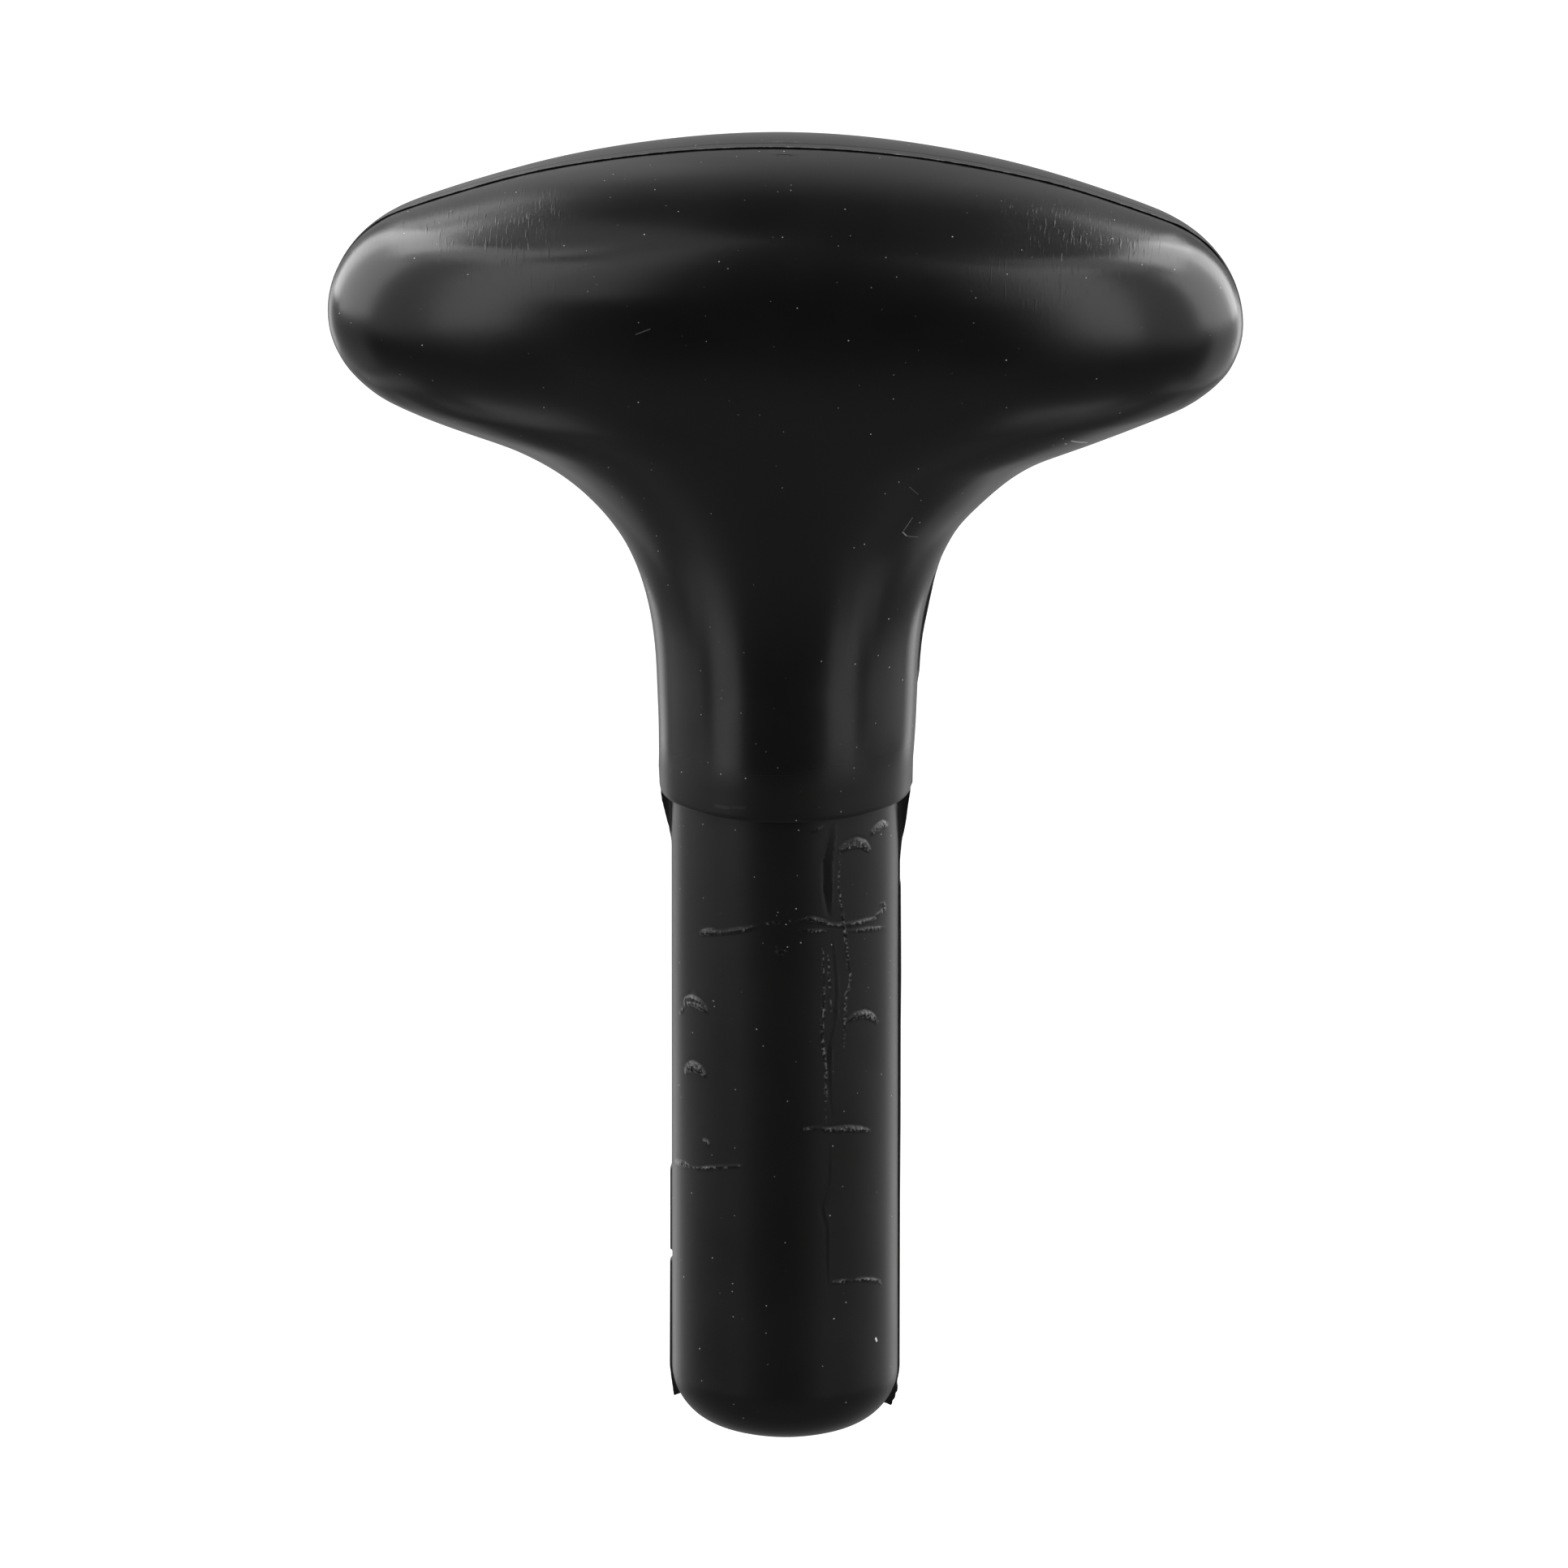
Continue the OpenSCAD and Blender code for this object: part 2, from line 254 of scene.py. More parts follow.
# Soft boxes round the grip: (azimuth from the front, elevation, width, height, brightness, metres).
# Angles are in degrees as the grip sees them, and positive azimuths lie to the right. The dim
# ones 0.1 to 0.15 m away stand round the neck.
SOFT_BOXES = {
    "right_back": (165, 22, 16, 32, 0.15, 1.6),
    "right_rear": (144, 39, 18, 15, 3.7, 1.6),
    "right_rear_low": (145, -14, 16, 20, 1.3, 1.6),
    "right_strip": (130, 12.5, 22, 41, 5.5, 1.6),
    "right_wide": (99, 12, 38, 42, 3.0, 1.6),
    "right_top": (113, 44, 40, 21, 6.1, 1.6),
    "right_high": (90, 64, 40, 12, 0.3, 1.6),
    "right_top_front": (63, 46, 30, 22, 1.5, 1.6),
    "right_fill": (69, 9, 28, 48, 0.65, 1.6),
    "right_front": (43, 14, 20, 54, 2.0, 1.6),
    "right_inner": (28, 25, 12, 50, 0.4, 1.6),
    "right_side_low": (98, -12, 44, 8, 0.6, 0.12),
    "right_low": (50, -11, 24, 8, 1.15, 0.1),
    "right_lower": (66, -19, 22, 9, 0.48, 0.1),
    "right_below": (129, -39, 42, 20, 0.26, 0.15),
    "right_edge": (108, 13, 40, 28, 0.8, 0.1),
    "left_back": (-163, 20, 16, 36, 0.25, 1.6),
    "left_rear": (-145, 36.5, 15, 15, 2.7, 1.6),
    "left_rear_low": (-145, -14, 16, 20, 1.0, 1.6),
    "left_strip": (-130, 14, 22, 38, 4.5, 1.6),
    "left_wide": (-99, 12, 38, 42, 2.7, 1.6),
    "left_top": (-112, 43.5, 39, 20, 6.2, 1.6),
    "left_high": (-68, 66, 56, 12, 0.7, 1.6),
    "left_top_front": (-65, 46, 28, 22, 2.5, 1.6),
    "left_fill": (-69, 9, 28, 48, 0.65, 1.6),
    "left_front": (-44, 12, 20, 50, 1.9, 1.6),
    "left_inner": (-27, 25, 14, 54, 1.05, 1.6),
    "left_side_low": (-96, -12, 44, 8, 0.55, 0.12),
    "left_low": (-49, -11, 24, 8, 1.15, 0.1),
    "left_lower": (-62, -18, 30, 7, 0.58, 0.1),
    "left_edge": (-104, 14, 40, 26, 0.3, 0.1),
    "front_low": (0, 2.5, 70, 15, 0.09, 0.1),
    "front_below": (0, -57, 80, 22, 0.08, 0.15),
    "left_below": (-129, -39, 42, 20, 0.33, 0.15),
}


def length(name, description, default):
    """A size in metres."""
    return FloatProperty(
        name=name, description=description, default=default, unit="LENGTH", precision=5)


def angle(name, description, degrees):
    """An angle, given in degrees."""
    return FloatProperty(
        name=name, description=description, default=math.radians(degrees), subtype="ANGLE")


def share(name, description, default):
    """A plain number of 0 or more."""
    return FloatProperty(name=name, description=description, default=default, min=0.0)


def colour(name, description, default):
    """A colour with its opacity."""
    return FloatVectorProperty(
        name=name, description=description, default=default, size=4, subtype="COLOR", min=0, max=1)


class HeadSizes(bpy.types.PropertyGroup):
    """Sizes of the palm head, the flare and the collar."""

    width: length("Width", "Palm head from tip to tip", 2 * (HIGH.x - LINE_PROUD))
    depth: length("Depth", "Palm head from front to back", 2 * (HIGH.y - HEAD_LAP))
    crest: length("Crest", "Height of the crest above the shoulder", HIGH.z - LINE_PROUD)
    tip_drop: length("Tip drop", "Crest above the level of the tips", 20 * MM)
    crown_drop: length("Crown drop", "Crest above the level where the head is deepest", 14.7 * MM)
    crown_radius: length("Crown radius", "Long arch over the crown", 122 * MM)
    tip_under_radius: length("Tip underside", "Radius under each tip", 10 * MM)
    under_slope: angle("Underside slope", "Rise of the underside towards the tips", 22.4)
    crown_fullness: share("Crown fullness", "Side view of the crown, where 2 is an ellipse", 2.55)
    plan_fullness: share("Plan fullness", "Head seen from above, where 2 is an ellipse", 2.0)
    collar: length("Collar", "Radius of the collar at its rim", 14.3 * MM)
    neck: length("Neck", "Height of the straight neck", 14 * MM)
    neck_draft: angle("Neck draft", "Draft of the neck on each side", 2.2)
    neck_lean: length("Neck lean", "How far the neck sits to the right", 0.2 * MM)
    rim: length("Rim", "Rounding of the collar's rim, inwards", 0.14 * MM)
    rim_height: length("Rim height", "Rounding of the collar's rim, upwards", 0.7 * MM)
    flare_reach: length("Flare reach", "How far the flare follows the underside", 14.5 * MM)
    neck_reach: length("Neck reach", "How far the flare follows the neck", 25.4 * MM)


class SpigotSizes(bpy.types.PropertyGroup):
    """Sizes of the spigot that goes into the shaft tube."""

    radius: length("Radius", "Radius of the spigot", SPIGOT_RADIUS)
    straight: length("Length", "Straight part below the shoulder", SPIGOT_LENGTH)
    dome: length("Dome", "Depth of the domed end", -LOW.z - SPIGOT_LENGTH)
    dome_radius: length("Dome radius", "Long arch of the domed end", 23.6 * MM)
    mark_relief: share("Mark relief", "Height of the moulding marks against the real ones", 1.0)


class PlasticFinish(bpy.types.PropertyGroup):
    """Colours and finish of the black plastic."""

    black: colour("Black", "Colour of the plastic", (0.002, 0.0022, 0.0025, 1))
    dust: colour("Dust", "Colour of the dust and the burr's flecks", (0.55, 0.56, 0.57, 1))
    head_roughness: share("Head roughness", "Polished skin of the head and neck", 0.25)
    spigot_roughness: share("Spigot roughness", "Duller skin of the spigot", 0.38)
    spigot_black: colour(
        "Spigot black", "Colour of the spigot's duller skin", (0.0062, 0.0062, 0.006, 1))
    spigot_shine: colour(
        "Spigot shine", "Tint of the gloss on the duller skin", (0.46, 0.46, 0.455, 1))
    smear: share("Smear", "Change of roughness from place to place", 0.025)
    grain: length("Grain", "Depth of the skin's fine grain", 0.004 * MM)
    grain_size: length("Grain size", "Spacing of the skin's fine grain", 0.5 * MM)
    hairs: share("Hairs", "Depth of the hairs on the shoulders against the grain", 2.2)
    dust_spacing: length("Dust spacing", "Cells that hold one speck each at most", 1.25 * MM)
    dust_share: share("Dust share", "Share of the cells that hold a speck", 0.5)
    flecks: share("Flecks", "How pale the torn edge of the parting line is", 0.4)
    mark_chalk: share("Mark chalk", "How pale the tops of the moulding marks are", 0.2)
    mark_polish: share("Mark polish", "How much smoother the moulding marks are", 0.12)


class StudioSettings(bpy.types.PropertyGroup):
    """The camera's place and the studio's light."""

    view_azimuth: angle("View azimuth", "Camera to the right of the front", 3.1)
    view_elevation: angle("View elevation", "Camera above the level", 17.1)
    view_distance: length("View distance", "From the camera to the grip", 4.0)
    view_width: length("View width", "Width of the picture at the grip", 178.1 * MM)
    aim_right: length("Aim right", "Picture's centre to the right of the axis", -0.16 * MM)
    aim_height: length("Aim height", "Picture's centre above the shoulder", 0.24 * MM)
    floor_drop: length("Floor drop", "Floor below the spigot's end", 0.9)
    floor_size: length("Floor size", "Side of the square floor", 12.0)
    brightness: share("Brightness", "Strength of all the soft boxes", 1.0)
    backdrop: share("Backdrop", "Brightness of the white surroundings", 1.05)
    front_fill: share("Front fill", "Light from the dark side of the room", 0.055)
    ceiling_fill: share("Ceiling fill", "Light that the ceiling adds", 0.04)
    rear_fill: share("Rear fill", "Light that the backdrop adds behind the grip", 0.375)
    floor_fill: share("Floor fill", "Light that the floor throws up at the grip", 0.17)


def arch_side(half_span, rise, long_radius):
    """Radius of a three-centred arch's short arcs, from its half span, rise and long arc."""
    return (2 * long_radius * rise - rise ** 2 - half_span ** 2) / (2 * (long_radius - half_span))


def arch_turn(half_span, rise, long_radius):
    """Angle at which the long arc hands over to the short one, from the middle."""
    return math.atan2(half_span - arch_side(half_span, rise, long_radius), long_radius - rise)


def arc(centre_x, centre_z, radius, angles):
    """Stations of an outline along an arc: x, z and the direction of the outward normal."""
    return np.stack(
        [centre_x + radius * np.cos(angles), centre_z + radius * np.sin(angles), angles], axis=1)


def ease(value, start, end):
    """Rises from 0 to 1 between two values, slowly at both ends."""
    t = np.clip((value - start) / (end - start), 0, 1)
    return t * t * (3 - 2 * t)


def mix(a, b, t):
    """A number between two others, at a share of the way."""
    return a + (b - a) * t


def flare(head, start):
    """Stations of the Bezier curve from the end of the underside to the top of the neck."""
    end = np.array([neck_radius(head, head.neck), head.neck])
    outward = np.array([math.cos(head.under_slope), math.sin(head.under_slope)])
    upward = np.array([math.sin(head.neck_draft), math.cos(head.neck_draft)])
    p = [start, start - head.flare_reach * outward, end + head.neck_reach * upward, end]
    t = np.linspace(0, 1, FLARE_RINGS + 1)[1:, None]
    s = 1 - t
    place = s ** 3 * p[0] + 3 * s ** 2 * t * p[1] + 3 * s * t ** 2 * p[2] + t ** 3 * p[3]
    way = s ** 2 * (p[1] - p[0]) + 2 * s * t * (p[2] - p[1]) + t ** 2 * (p[3] - p[2])
    return np.column_stack([place, np.arctan2(way[:, 0], -way[:, 1])])


def neck_radius(head, height):
    """Radius of the straight neck at a height above the shoulder."""
    return head.collar + height * math.tan(head.neck_draft)


def head_outline(head):
    """Stations of the front outline's right half, from beside the crest down to the neck's top."""
    half_width = head.width / 2
    tip_height = head.crest - head.tip_drop
    tip_radius = arch_side(half_width, head.tip_drop, head.crown_radius)
    turn = arch_turn(half_width, head.tip_drop, head.crown_radius)
    quarter = math.pi / 2
    crown = arc(
        0, head.crest - head.crown_radius, head.crown_radius,
        quarter - np.linspace(CREST_TURN, turn, CROWN_RINGS))
    tip = arc(
        half_width - tip_radius, tip_height, tip_radius,
        (quarter - turn) * np.linspace(1, 0, TIP_RINGS + 1)[1:])
    under = arc(
        half_width - head.tip_under_radius, tip_height, head.tip_under_radius,
        -(quarter - head.under_slope) * np.linspace(0, 1, UNDER_RINGS + 1)[1:])
    return np.concatenate([crown, tip, under, flare(head, under[-1, :2])])


def half_depth(head, height):
    """Half depth of the head at a height: round neck, slow swelling, then over the crown."""
    deepest = head.crest - head.crown_drop
    if height > deepest:
        rise = min(1, (height - deepest) / head.crown_drop)
        return head.depth / 2 * (1 - rise ** head.crown_fullness) ** (1 / head.crown_fullness)
    return mix(neck_radius(head, head.neck), head.depth / 2, ease(height, head.neck, deepest))


def fullness(head, height):
    """Fullness of the level section at a height: a circle at the neck, an oval at the tips."""
    tip_height = head.crest - head.tip_drop
    return mix(2, head.plan_fullness, ease(height, head.neck, tip_height))


def neck_stations(head):
    """Stations of the straight neck and of the rim's soft rounding, down to the shoulder."""
    heights = np.linspace(head.neck, head.rim_height, NECK_RINGS + 1)[1:]
    neck = np.column_stack(
        [neck_radius(head, heights), heights, np.full(NECK_RINGS, -head.neck_draft)])
    turn = math.pi / 2 * np.linspace(0, 1, RIM_RINGS + 1)[1:]
    heights = head.rim_height * (1 - np.sin(turn))
    across = neck_radius(head, heights) - head.rim * (1 - np.cos(turn))
    normals = -np.arctan2(np.sin(turn), RIM_STEEPNESS * np.cos(turn))
    rim = np.column_stack([across, heights, normals])
    return np.concatenate([neck, rim])


def lean(head, height):
    """How far the neck stands to the right of the spigot's axis at a height."""
    return head.neck_lean * ease(height, *LEAN_START) * (1 - ease(height, *LEAN_END))


def half_section(across, deep, full, lines):
    """Right half of a level section, front to back, with columns at the parting line's places."""
    lines = np.asarray(lines)
    reach = np.abs(lines) / deep
    seam = np.column_stack([across * (1 - reach ** full) ** (1 / full), lines])
    steps = np.arange(1, HEAD_QUARTER + 1) / (HEAD_QUARTER + 0.5)

    def quarter(first):
        start = math.asin((abs(first) / deep) ** (full / 2))
        turn = mix(start, math.pi / 2, steps)
        return np.column_stack([
            across * np.cos(turn) ** (2 / full),
            math.copysign(deep, first) * np.sin(turn) ** (2 / full)])

    return np.concatenate([quarter(lines[0])[::-1], seam, quarter(lines[-1])])


def wander(place, seed, size):
    """A smooth random value from -1 to 1 along a line, the same in each run."""
    return noise.noise(Vector((place / size, seed, 0.5)))


def swelling(side, height):
    """How far the outline stands out along its normal on one side at a height, all in mm."""
    total = 0
    for at_side, middle, reach, amount in SWELLINGS:
        if at_side == side and abs(height - middle) < reach:
            total += amount * math.cos(math.pi / 2 * (height - middle) / reach) ** 2
    return total


def head_rings(head):
    """Level rings of the head, flare and neck, from the crest down to the shoulder."""
    stations = np.concatenate([head_outline(head), neck_stations(head)])
    lines = np.array([place for place, _ in PARTING_SECTION]) * MM
    heights = np.array([height for _, height in PARTING_SECTION]) * MM
    seam = slice(HEAD_QUARTER, HEAD_QUARTER + len(lines))
    rings = []
    for across, height, normal in stations:
        on_neck = height <= head.neck
        deep = across if on_neck else half_depth(head, height)
        full = 2 if on_neck else fullness(head, height)
        flat = half_section(across, deep, full, lines)
        halves = []
        for side, table in ((-1, PARTING_LEFT), (1, PARTING_RIGHT)):
            strength = np.interp(height / MM, *zip(*table))
            strength *= 1 + PARTING_WANDER * wander(across, 3.0 * side, PARTING_WANDER_LENGTH)
            flash = np.interp(height / MM, *zip(*NECK_FLASH)) * MM if side > 0 else 0
            half = np.column_stack([side * flat[:, 0], flat[:, 1], np.full(len(flat), height)])
            half[seam, 0] += side * heights * strength * math.cos(normal)
            half[seam, 2] += heights * strength * math.sin(normal)
            half[seam, 0] += flash * (np.abs(lines) < NECK_FLASH_HALF_WIDTH)
            swell = swelling(side, height / MM) * MM * flat[:, 0] / across
            half[:, 0] += side * swell * math.cos(normal)
            half[:, 2] += swell * math.sin(normal)
            half[:, 0] += lean(head, height)
            half[:, 2] = np.minimum(half[:, 2], HIGH.z)
            halves.append(half)
        rings.append(np.concatenate([halves[0][::-1], halves[1]]))
    return rings


def spigot_columns():
    """Turn of each column round the spigot in radians, and its highest flash in mm."""
    radius = SPIGOT_RADIUS / MM
    front = []
    for start, end, step in FRONT_COLUMNS:
        count = round(math.radians(end - start) * radius / step)
        front.extend(np.linspace(start, end, count, endpoint=False))
    front = np.radians(front + [FRONT_COLUMNS[-1][1]])
    places, right_caps, left_caps = np.array(FLASH_SECTION).T
    right = math.pi / 2 + np.arcsin(places / radius)
    back_end = 2 * math.pi - right[-1]
    back_count = round(math.degrees(back_end - right[-1]) / BACK_COLUMN_TURN)
    back = np.linspace(right[-1], back_end, back_count + 1)[1:-1]
    middle = np.searchsorted(back, math.pi)
    turns = np.concatenate([back[middle:] - 2 * math.pi, -right[::-1], front, right, back[:middle]])
    caps = np.concatenate([
        np.zeros(len(back) - middle), left_caps[::-1], np.zeros(len(front)), right_caps,
        np.zeros(middle)])
    return turns, caps


def spigot_stations(spigot):
    """Stations of the spigot's profile, from the shoulder down around the domed end."""
    depths = []
    for start, end, step in SPIGOT_RINGS:
        depths.extend(np.linspace(start, end, round((end - start) / step), endpoint=False))
    depths = np.array(depths) * MM
    straight = np.column_stack(
        [np.full(len(depths), spigot.radius), -depths, np.zeros(len(depths))])
    side_radius = arch_side(spigot.radius, spigot.dome, spigot.dome_radius)
    turn = arch_turn(spigot.radius, spigot.dome, spigot.dome_radius)
    side = arc(
        spigot.radius - side_radius, -spigot.straight, side_radius,
        -(math.pi / 2 - turn) * np.linspace(0, 1, DOME_SIDE_RINGS + 1))
    end = arc(
        0, -spigot.straight - spigot.dome + spigot.dome_radius, spigot.dome_radius,
        -math.pi / 2 + turn * np.linspace(1, 0, DOME_END_RINGS + 1)[1:])
    return np.concatenate([straight, side, end])


def along_route(route, across, up):
    """How far each place lies to the left of a route, and how far along the route it lies."""
    points = np.array(
        [(math.radians(turn) * SPIGOT_RADIUS / MM, -depth) for turn, depth in route])
    nearest = np.full(across.shape, np.inf)
    left, run = np.zeros(across.shape), np.zeros(across.shape)
    passed = 0.0
    for start, end in zip(points[:-1], points[1:]):
        way = end - start
        stretch = np.hypot(*way)
        dx, dy = across - start[0], up - start[1]
        t = np.clip((dx * way[0] + dy * way[1]) / stretch ** 2, 0, 1)
        gap = np.hypot(dx - t * way[0], dy - t * way[1])
        closer = gap < nearest
        side = np.sign(way[0] * dy - way[1] * dx)
        left = np.where(closer, side * gap, left)
        run = np.where(closer, passed + t * stretch, run)
        nearest = np.minimum(nearest, gap)
        passed += stretch
    return left, run, passed


def mark_heights(turns, depths):
    """Height in mm of the moulding marks, and the share of mark, for rings by columns."""
    across, up = np.meshgrid(turns * SPIGOT_RADIUS / MM, -depths)
    relief, where = np.zeros(across.shape), np.zeros(across.shape)
    for number, (route, wide_left, wide_right, height, beads) in enumerate(MARKS.values()):
        left, run, whole = along_route(route, across, up)
        taper = np.sin(np.pi * np.clip(run / whole, 0, 1)) ** MARK_TAPER
        width = np.where(left > 0, wide_left, wide_right) * mix(MARK_END_WIDTH, 1, taper)
        out = np.abs(left) / width
        face = FOLD_FACE if wide_left > BROAD_FOLD and height > 0 else FOLD_BACK
        over = np.where(
            left > 0, np.interp(out, *zip(*face)), np.interp(out, *zip(*FOLD_BACK)))
        if height < 0:
            over = -np.interp(left / width, *zip(*CREASE))
        over *= taper
        drift = BEAD_DRIFT * np.sin(BEAD_DRIFT_PACE * run + number)
        phase = 2 * np.pi * run / BEAD_LENGTH + drift
        over *= 1 - beads * (0.5 - 0.5 * np.cos(phase))
        relief += over * height
        if height > 0:
            where = np.maximum(where, np.minimum(1, over * 2))
    for i, k in zip(*np.nonzero(where > MARK_GRAIN_START)):
        spot = Vector((across[i, k], up[i, k], 0)) / MARK_GRAIN_LENGTH
        relief[i, k] += where[i, k] * MARK_GRAIN * noise.noise(spot)
    return relief, where


def spigot_rings(spigot):
    """Rings of the spigot and its dome, and the share of moulding mark at each point."""
    turns, caps = spigot_columns()
    stations = spigot_stations(spigot)
    depths = -stations[:, 1] / MM
    relief, where = mark_heights(turns, depths)
    relief *= spigot.mark_relief
    left = np.interp(depths, *zip(*FLASH_LEFT))
    right = np.interp(depths, *zip(*FLASH_RIGHT))
    proud = np.minimum(np.where(turns[None, :] > 0, right[:, None], left[:, None]), caps[None, :])
    grown = (relief + proud) * MM
    rings = []
    for (radius, height, normal), lift in zip(stations, grown):
        reach = radius + lift * math.cos(normal)
        rings.append(np.column_stack(
            [reach * np.sin(turns), -reach * np.cos(turns), height + lift * math.sin(normal)]))
    return rings, where


def drawn_shell(rings):
    """A circle drawn out ring by ring: each new ring is extruded and set to its section."""
    count = len(rings[0])
    bpy.ops.object.select_all(action="DESELECT")
    bpy.ops.mesh.primitive_circle_add(
        vertices=count, radius=float(rings[0][:, 0].max()), location=(0, 0, 0))
    shell = bpy.context.object
    bpy.ops.object.mode_set(mode="EDIT")
    bpy.ops.mesh.select_all(action="SELECT")
    mesh = bmesh.from_edit_mesh(shell.data)
    for number, ring in enumerate(rings):
        if number:
            drop = float(ring[0, 2] - rings[number - 1][0, 2])
            bpy.ops.mesh.extrude_edges_move(TRANSFORM_OT_translate={"value": (0, 0, drop)})
            mesh = bmesh.from_edit_mesh(shell.data)
        mesh.verts.ensure_lookup_table()
        for vertex, place in zip(mesh.verts[-count:], ring):
            vertex.co = place
    bmesh.update_edit_mesh(shell.data)
    return shell


def close_crest(shell, head, count):
    """Bridges the left and right halves of the first ring and arches the cap between them."""
    bpy.ops.mesh.select_all(action="DESELECT")
    bpy.context.tool_settings.mesh_select_mode = (False, True, False)
    mesh = bmesh.from_edit_mesh(shell.data)
    mesh.verts.ensure_lookup_table()
    mesh.edges.ensure_lookup_table()
    before = len(mesh.verts)
    for edge in mesh.edges:
        a, b = edge.verts
        if max(a.index, b.index) < count and a.co.x * b.co.x > 0:
            edge.select = True
    bmesh.update_edit_mesh(shell.data)
    bpy.ops.mesh.bridge_edge_loops(number_cuts=CAP_CUTS, interpolation="LINEAR")
    mesh = bmesh.from_edit_mesh(shell.data)
    mesh.verts.ensure_lookup_table()
    edge_x = head.crown_radius * math.sin(CREST_TURN)
    for vertex in mesh.verts[before:]:
        arch = math.sqrt(head.crown_radius ** 2 - vertex.co.x ** 2)
        vertex.co.z += arch - math.sqrt(head.crown_radius ** 2 - edge_x ** 2)
        vertex.co.z = min(vertex.co.z, HIGH.z)
    bmesh.update_edit_mesh(shell.data)


def set_mark_attribute(shell, where):
    """Keeps where the moulding marks lie as a value on the mesh for the plastic to read."""
    layer = shell.data.attributes.new("mark", "FLOAT", "POINT")
    layer.data.foreach_set("value", where.astype(np.float32).ravel())


def weld_shoulder(piece):
    """Bridges the collar's inner edge and the spigot's first ring with the flat shoulder."""
    bpy.ops.object.mode_set(mode="EDIT")
    bpy.context.tool_settings.mesh_select_mode = (False, True, False)
    bpy.ops.mesh.select_all(action="DESELECT")
    mesh = bmesh.from_edit_mesh(piece.data)
    for edge in mesh.edges:
        if edge.is_boundary and all(abs(vertex.co.z) < SAME_PLACE for vertex in edge.verts):
            edge.select = True
    bmesh.update_edit_mesh(piece.data)
    bpy.ops.mesh.bridge_edge_loops()
    bpy.ops.mesh.select_all(action="SELECT")
    bpy.ops.mesh.remove_doubles(threshold=SAME_PLACE)
    bpy.ops.mesh.normals_make_consistent(inside=False)
    bpy.ops.object.mode_set(mode="OBJECT")


def feed(tree, made, inputs):
    """Sets or links the inputs of a shader node, by number or name."""
    for key, given in inputs.items():
        if isinstance(given, bpy.types.NodeSocket):
            tree.links.new(given, made.inputs[key])
        else:
            made.inputs[key].default_value = given


def node(tree, kind, place, inputs, **settings):
    """A new shader node at a place in the tree, with its inputs fed and its settings made."""
    made = tree.nodes.new(kind)
    made.location = (place[0] * NODE_GAP, place[1] * NODE_GAP)
    for name, value in settings.items():
        setattr(made, name, value)
    feed(tree, made, inputs)
    return made


def value_of(tree, kind, place, inputs, output=0, **settings):
    """One output of such a node."""
    return node(tree, kind, place, inputs, **settings).outputs[output]


def ramp(tree, place, value, start, end, first=0.0, last=1.0, **settings):
    """Maps a stretch of values to another stretch, and holds it at both ends."""
    inputs = {0: value, 1: start, 2: end, 3: first, 4: last}
    return value_of(tree, "ShaderNodeMapRange", place, inputs, **settings)


def combine(tree, place, operation, first, second=0.0, **settings):
    """One step of arithmetic."""
    inputs = {0: first, 1: second}
    return value_of(tree, "ShaderNodeMath", place, inputs, operation=operation, **settings)


def combine_vectors(tree, place, operation, first, second, **settings):
    """One step of arithmetic with places or directions."""
    inputs = {0: first, 1: second}
    return value_of(tree, "ShaderNodeVectorMath", place, inputs, operation=operation, **settings)


def scaled(tree, place, vector, by):
    """A direction or a colour times a number."""
    return value_of(tree, "ShaderNodeVectorMath", place, {0: vector, 3: by}, operation="SCALE")


def blend(tree, place, by, first, second):
    """A colour between two others."""
    inputs = {0: by, 6: first, 7: second}
    return value_of(tree, "ShaderNodeMix", place, inputs, output=2, data_type="RGBA")


def cloudy(tree, place, where, size, **inputs):
    """Smooth random values round a half, with humps of about the given size."""
    inputs = {"Vector": where, "Scale": 1 / size, **inputs}
    return value_of(tree, "ShaderNodeTexNoise", place, inputs)


def dust_specks(tree, where, finish):
    """Round specks of dust, pale or faint, one in some of the cells."""
    cells = node(
        tree, "ShaderNodeTexVoronoi", (-7, -3), {"Vector": where, "Scale": 1 / finish.dust_spacing})
    chance = node(tree, "ShaderNodeSeparateXYZ", (-6, -4), {0: cells.outputs["Color"]})
    picked = combine(tree, (-5, -4), "GREATER_THAN", chance.outputs["X"], 1 - finish.dust_share)
    specks = ramp(tree, (-5, -3), cells.outputs["Distance"], 0.045, 0.075, 1.0, 0.0)
    paleness = ramp(tree, (-5, -2), chance.outputs["Y"], 0.2, 1.0, 0.06, 0.9)
    specks = combine(tree, (-4, -3), "MULTIPLY", specks, picked)
    return combine(tree, (-3, -3), "MULTIPLY", specks, paleness)


def line_across(tree, place, depth, middle, inner, outer):
    """A line along the crest: its middle behind the parting plane, its inner and outer edge."""
    off = combine(tree, place, "SUBTRACT", depth, middle)
    off = combine(tree, (place[0] + 1, place[1]), "ABSOLUTE", off)
    return ramp(tree, (place[0] + 2, place[1]), off, inner, outer, 1.0, 0.0)


def torn_lip(tree, where, depth, on_crown, finish):
    """Pale flecks where the lip of the parting line is torn, over the crown of the head."""
    lip = line_across(tree, (-6, -6), depth, 0.17 * MM, 0.13 * MM, 0.15 * MM)
    torn = cloudy(tree, (-6, -8), where, 1.1 * MM, Detail=4.0, Roughness=0.7)
    torn = ramp(tree, (-5, -8), torn, 0.45, 0.65, 0.0, finish.flecks)
    lip = combine(tree, (-3, -6), "MULTIPLY", lip, on_crown)
    return combine(tree, (-2, -6), "MULTIPLY", lip, torn)


